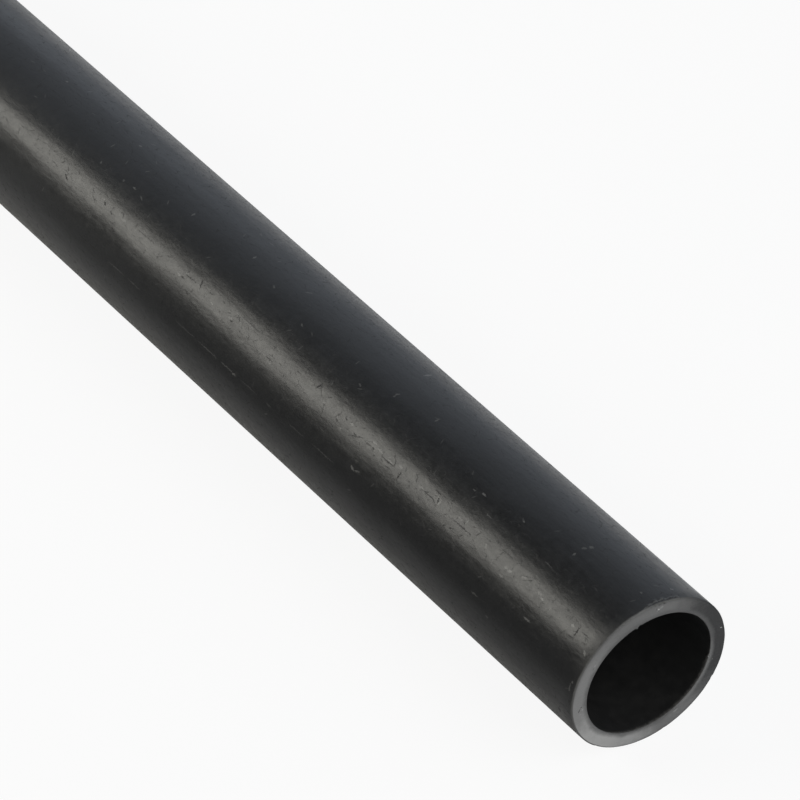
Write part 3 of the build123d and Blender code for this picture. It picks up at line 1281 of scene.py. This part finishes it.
def sawn_material(finish, places, leans):
    """The sawn wall: chalky where the saw tore it, darker where it ran smooth, scraped at the bore. The
    torn side's paleness is partly painted light, and the smooth side's darkness partly painted shade.
    """
    material, tree, shader = new_material("pvc_sawn")
    at = places_on_pipe(tree, places)
    round_axis = at["Round Axis"]
    radius = calc3(tree, "LENGTH", calc3(tree, "MULTIPLY", round_axis, (0.0, 1.0, 1.0)))
    cloud = waves_of(tree, round_axis, 0.18, 3.0, 0.6)

    def clouded_lean(side):
        return calc(tree, "MULTIPLY_ADD", cloud, 0.08, lean_to(tree, leans, round_axis, side))

    # how chalky the wall is, partly painted light towards the torn side and painted shade towards the
    # smooth side
    chalk_and_light = remap(tree, clouded_lean(finish.shaded_smooth_side), 0.93, 0.4, 0.0, 0.36, smooth=True)
    chalky_and_lit_part = remap(tree, clouded_lean(finish.lit_chalky_side), 0.25, 0.9, 0.0, 0.2, smooth=True)
    torn_and_lit_part = remap(tree, clouded_lean(finish.lit_torn_side), 0.7, 0.96, 0.0, 0.42, smooth=True)
    chalk_and_light = calc(tree, "ADD", chalk_and_light, calc(tree, "ADD", chalky_and_lit_part, torn_and_lit_part))

    # darker along both edges, the outer one but for its lit pale side, the outer darkness being painted
    # shade
    edge_radius = pipe_radius * MM
    near_bore = bore_radius * MM
    outer_shade_share = remap(tree, clouded_lean(finish.lit_edge_side), 0.6, 0.95, 0.71, 1.03, smooth=True)
    outer_edge_shade = remap(tree, radius, edge_radius - 1.8, edge_radius - 0.3, 1.0, outer_shade_share, smooth=True)
    inner_margin = remap(tree, radius, near_bore + 0.5, near_bore + 0.05, 1.0, 0.75, smooth=True)

    # the scraped band beside the bore, palest on one side as a painted highlight
    ragged = calc(tree, "MULTIPLY_ADD", cloud, 0.4, radius)
    band = remap(tree, ragged, near_bore + 2.3, near_bore + 0.4, 0.0, 0.85, smooth=True)
    pale = remap(
        tree, clouded_lean(finish.scraped_lit_side), 0.75, 0.98, finish.scraped, finish.scraped + 0.24,
        smooth=True,
    )
    chalk_and_light = calc(tree, "MULTIPLY_ADD", calc(tree, "SUBTRACT", pale, chalk_and_light), band, chalk_and_light)
    chalk_and_light = calc(tree, "MULTIPLY", chalk_and_light, calc(tree, "MULTIPLY", outer_edge_shade, inner_margin))

    # saw lines across the wall and a fine tooth
    sawing = calc3(tree, "MULTIPLY", round_axis, (1.0, 0.06, 1.0))
    lines = waves_of(tree, sawing, 1.3, 2.0, 0.6)
    tooth = waves_of(tree, round_axis, 2.2, 3.0, 0.6)
    chalk_and_light = calc(tree, "MULTIPLY_ADD", lines, 0.02, chalk_and_light)
    chalk_and_light = calc(tree, "MULTIPLY_ADD", tooth, 0.025, chalk_and_light, clamp=True)
    _, face_y, face_z = split(tree, round_axis)
    placed = use_group(
        tree, marks_group(SAWN_MARKS), {"Place": xyz(tree, face_y, face_z, 0.0), "Ragged": 0.6}
    )["Marks"]
    light, dark = light_and_dark(tree, placed)
    colour = mix_colours(tree, chalk_and_light, (*finish.sawn_smooth_shaded, 1), (*finish.sawn_torn_lit, 1))
    colour = mix_colours(tree, dark, colour, (*finish.sawn_crack, 1))
    colour = mix_colours(tree, light, colour, (*finish.sawn_fleck, 1))
    wire(tree, colour, shader.inputs["Base Color"])
    rough = remap(tree, chalk_and_light, 0.0, 1.0, finish.smooth_roughness, finish.sawn_roughness)
    wire(tree, rough, shader.inputs["Roughness"])
    shader.inputs["Specular IOR Level"].default_value = finish.sawn_specular
    height = calc(tree, "MULTIPLY_ADD", lines, 0.006, calc(tree, "MULTIPLY", tooth, 0.008))
    wire(tree, bumped(tree, height), shader.inputs["Normal"])
    return material


def bore_material(finish, places, streaks, leans):
    """The inside: the same dark plastic, duller, a little dusty along the bottom and paler there with
    painted light, and with the cut's crumbs clinging behind the rim."""
    material, tree, shader = new_material("pvc_bore")
    at = places_on_pipe(tree, places)
    drawn = use_group(tree, streaks, {"Drawn Out": at["Drawn Out"], "Round Axis": at["Round Axis"]})
    shade = calc(tree, "MULTIPLY_ADD", drawn["Tone"], finish.streaks, 1.0)
    plain = calc3(tree, "MULTIPLY", tuple(finish.bore), xyz(tree, shade, shade, shade))
    _, _, height_in = split(tree, at["Round Axis"])
    cloud = noise(tree, at["Round Axis"], 0.25, 4.0, 0.6)
    # paler towards the bottom: partly dust, partly painted light on the bore's floor
    dust_and_light = calc(
        tree, "MULTIPLY",
        remap(tree, height_in, 6.0, -24.0, smooth=True),
        remap(tree, cloud, 0.35, 0.75, 0.03, 0.14),
    )
    dusty_and_lit = mix_colours(tree, dust_and_light, plain, (*finish.dust_and_light, 1))
    crumbs = noise(tree, at["Round Axis"], 0.9, 3.0, 0.6)
    reach = calc(tree, "MULTIPLY_ADD", crumbs, -1.8, at["Behind Cut"])
    fade = remap(tree, reach, 1.1, -1.0, smooth=True)
    crumb_side = lean_to(tree, leans, at["Round Axis"], finish.crumb_side)
    clinging = calc(
        tree, "MULTIPLY",
        calc(tree, "MULTIPLY", fade, fade),
        remap(tree, crumb_side, 0.3, 0.65, 0.0, 0.8, smooth=True),
    )
    wire(tree, mix_colours(tree, clinging, dusty_and_lit, (*finish.crumbs, 1)), shader.inputs["Base Color"])
    rough = calc(tree, "MULTIPLY_ADD", drawn["Tone"], 0.04, finish.bore_roughness)
    wire(tree, rough, shader.inputs["Roughness"])
    wire(tree, bumped(tree, drawn["Height"]), shader.inputs["Normal"])
    return material


class OBJECT_OT_make_pvc_pipe(bpy.types.Operator):
    """Makes the pipe's visible mesh and its materials"""

    bl_idname = "object.make_pvc_pipe"
    bl_label = "Make PVC pipe"

    def execute(self, context):
        shape, finish = context.scene.pvc_pipe_shape, context.scene.pvc_pipe_finish
        piece = outline_object(shape)
        knocks = knocks_object()
        modifier = piece.modifiers.new("wall", "NODES")
        modifier.node_group = wall_tree()
        places, streaks, leans = surface_group(), streak_group(), lean_group()
        set_inputs(modifier, {
            "Knocks": knocks,
            "Steps Around": shape.around,
            "Axis Height": pipe_radius,
            "Cut Middle": cut_axis_x,
            "Cut Lean": cut_lean,
            "Cut Back Side": cut_back_side,
            "Cut Reach": shape.cut_reach,
            "Rim Wander": shape.rim_wander,
            "Rim Seed": shape.rim_seed,
            "Skin": skin_material(finish, places, streaks, leans),
            "Sawn": sawn_material(finish, places, leans),
            "Inside": bore_material(finish, places, streaks, leans),
        })
        plain_mesh(piece)
        bpy.data.objects.remove(knocks)
        if len(piece.data.polygons) < shape.around:
            raise RuntimeError("the pipe's wall was not made")
        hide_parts("pipe")
        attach(piece, "root")
        return {"FINISHED"}


# The studio

def make_camera(stage):
    """The photo's view. The middle of the shown end stands at its place in a square frame."""
    azimuth, elevation = stage.azimuth, stage.elevation
    back = Vector((
        math.sin(azimuth) * math.cos(elevation),
        -math.cos(azimuth) * math.cos(elevation),
        math.sin(elevation),
    ))
    turn = back.to_track_quat("Z", "Y").to_matrix()
    data = bpy.data.cameras.new("camera")
    data.sensor_width = 36
    data.lens = stage.focal
    data.clip_start = 0.05
    data.clip_end = 100
    frame_width = data.sensor_width / data.lens * stage.distance
    end_seen = Vector((stage.end_across * frame_width, -stage.end_down * frame_width, -stage.distance))
    camera = linked_object("camera", data)
    place = Vector((cut_axis_x, 0, pipe_radius)) - turn @ end_seen
    camera.matrix_world = Matrix.Translation(place) @ turn.to_4x4()
    bpy.context.scene.camera = camera


def soft_light(name, size, place, aim, level, colour, shape="RECTANGLE"):
    """An area light whose face is as bright as level. It hides from the camera."""
    data = bpy.data.lights.new(name, "AREA")
    data.shape = shape
    data.size, data.size_y = size
    data.color = colour
    face = size[0] * size[1] * (math.pi / 4 if shape == "ELLIPSE" else 1)
    data.energy = math.pi * level * face
    light = linked_object(name, data)
    away = (Vector(place) - Vector(aim)).normalized()
    # a light that faces the pipe squarely keeps its width along X
    side = Vector((0, 0, 1)).cross(away)
    side = Vector((1, 0, 0)) if abs(away.x) < 1e-6 else side.normalized()
    up = away.cross(side)
    turn = Matrix((side, up, away)).transposed()
    light.matrix_world = Matrix.Translation(place) @ turn.to_4x4()
    light.visible_camera = False


def make_floor(stage):
    """A plain pale floor. The camera sees it nearly white, apart from the shadow. So does a mirrored or
    clear ray well behind the pipe, while elsewhere the pipe sees it darker, most of all in front."""
    mesh = bpy.data.meshes.new("floor")
    half = 12.0
    # the matte floor's shade to the camera, and how pale the pipe sees the floor from its axis on
    matte_shade = (0.8, 0.8, 0.8, 1)
    behind_pipe = 0.88
    # along Y: where the floor begins to turn white for mirrored rays, where it is white, and where it
    # begins to pale towards the pipe's axis
    white_from, white_by, paling_from = 1.0, 3.0, -0.11
    # the front and the far shade meet between two lines that slant as the mirrored view of the pipe does
    slant, front_line, far_line = 0.8, 0.32, 0.12
    mesh.from_pydata(
        [(-half, -half, 0), (half, -half, 0), (half, half, 0), (-half, half, 0)], [], [(0, 1, 2, 3)]
    )
    floor = linked_object("floor", mesh)
    material = bpy.data.materials.new("floor")
    material.use_nodes = True
    tree = material.node_tree
    tree.nodes.clear()
    path = add(tree, "ShaderNodeLightPath").outputs
    place = add(tree, "ShaderNodeTexCoord").outputs["Object"]
    along, depth, _ = split(tree, place)
    mirrored = calc(tree, "MAXIMUM", path["Is Glossy Ray"], path["Is Transmission Ray"])
    mirrored = calc(tree, "MULTIPLY", mirrored, remap(tree, depth, white_from, white_by, smooth=True))
    in_view = calc(tree, "MAXIMUM", path["Is Camera Ray"], mirrored)
    met = calc(tree, "MULTIPLY_ADD", depth, -slant, along)
    front = remap(tree, met, front_line, far_line, stage.front_floor, stage.far_floor, smooth=True)
    seen = remap(tree, depth, paling_from, 0.0, front, behind_pipe, smooth=True)
    shade = mix_colours(tree, in_view, seen, matte_shade)
    matte = add(tree, "ShaderNodeBsdfDiffuse", {"Color": shade})
    glow = add(tree, "ShaderNodeEmission", {"Color": (1, 1, 1, 1), "Strength": 1.0})
    share = calc(tree, "MULTIPLY", in_view, stage.floor_white)
    mixed = add(tree, "ShaderNodeMixShader", {"Fac": share, 1: matte.outputs[0], 2: glow.outputs[0]})
    add(tree, "ShaderNodeOutputMaterial", {"Surface": mixed.outputs[0]})
    mesh.materials.append(material)


def make_room(level):
    """The room's even light, which the camera and anything clear see as white."""
    world = bpy.data.worlds.new("studio")
    world.use_nodes = True
    bpy.context.scene.world = world
    tree = world.node_tree
    background = tree.nodes["Background"]
    path = add(tree, "ShaderNodeLightPath").outputs
    in_view = calc(tree, "MAXIMUM", path["Is Camera Ray"], path["Is Transmission Ray"])
    strength = calc(tree, "MULTIPLY_ADD", in_view, 1.0 - level, level)
    background.inputs["Color"].default_value = (1, 1, 1, 1)
    tree.links.new(strength, background.inputs["Strength"])


class OBJECT_OT_make_pvc_stage(bpy.types.Operator):
    """Makes the floor, the lights and the camera"""

    bl_idname = "object.make_pvc_stage"
    bl_label = "Make stage"

    def execute(self, context):
        stage = context.scene.pvc_pipe_stage
        make_floor(stage)
        make_room(stage.room_level)
        # the strip hangs this far from the pipe and has its middle this far behind the cut
        strip_far, strip_behind = 1.1, 1.3
        strip_x = cut_axis_x - strip_behind
        strip_place = (
            strip_x,
            strip_far * math.cos(stage.strip_height),
            pipe_radius + strip_far * math.sin(stage.strip_height),
        )
        shown = (cut_axis_x, 0, pipe_radius)
        warm, cool, plain = (1.0, 0.98, 0.905), (0.88, 0.965, 1.09), (1.0, 1.0, 1.0)
        # each light's size, its place and what it faces, in metres
        soft_light("strip", (1.8, 0.5), strip_place, (strip_x, 0, pipe_radius), stage.strip_level, warm)
        back = stage.back_level
        soft_light("back_low", (6.0, 1.7), (0.3, 2.2, 0.85), (0.3, 0, 0.85), back, cool)
        soft_light("back_middle", (6.0, 1.4), (0.3, 2.2, 2.4), (0.3, 0, 0.4), back * 0.75, cool)
        soft_light("back_high", (6.0, 1.0), (0.3, 1.1, 2.7), (0.3, 0, 0.1), back * 0.4, cool)
        soft_light("key", (2.2, 2.2), (2.3, 0.65, 1.8), shown, stage.key_level, plain)
        soft_light("front", (1.4, 1.4), (2.4, -1.1, 0.75), shown, stage.front_level, plain)
        beyond, far_end = (pipe_low.x - 0.05, 0.25, 0.58), (pipe_low.x, 0.25, 0.58)
        soft_light("far", (1.1, 1.1), beyond, far_end, stage.far_level, cool, "ELLIPSE")
        make_camera(stage)
        context.scene.view_settings.view_transform = "Standard"
        return {"FINISHED"}


class VIEW3D_PT_pvc_pipe(bpy.types.Panel):
    """The pipe's settings in the sidebar"""

    bl_label = "PVC pipe"
    bl_space_type = "VIEW_3D"
    bl_region_type = "UI"
    bl_category = "PVC pipe"

    def draw(self, context):
        scene = context.scene
        for group, operator in (
            (scene.pvc_pipe_shape, None),
            (scene.pvc_pipe_finish, "object.make_pvc_pipe"),
            (scene.pvc_pipe_stage, "object.make_pvc_stage"),
        ):
            column = self.layout.column()
            for name in group.__annotations__:
                column.prop(group, name)
            if operator:
                column.operator(operator)


classes = (
    PipeShape, PipeFinish, PipeStage,
    OBJECT_OT_make_pvc_pipe, OBJECT_OT_make_pvc_stage, VIEW3D_PT_pvc_pipe,
)


def register():
    for made in classes:
        bpy.utils.register_class(made)
    bpy.types.Scene.pvc_pipe_shape = PointerProperty(type=PipeShape)
    bpy.types.Scene.pvc_pipe_finish = PointerProperty(type=PipeFinish)
    bpy.types.Scene.pvc_pipe_stage = PointerProperty(type=PipeStage)


def unregister():
    del bpy.types.Scene.pvc_pipe_stage
    del bpy.types.Scene.pvc_pipe_finish
    del bpy.types.Scene.pvc_pipe_shape
    for made in reversed(classes):
        bpy.utils.unregister_class(made)


def main():
    register()
    bpy.ops.object.make_pvc_pipe()
    bpy.ops.object.make_pvc_stage()


if __name__ == "__main__":
    main()
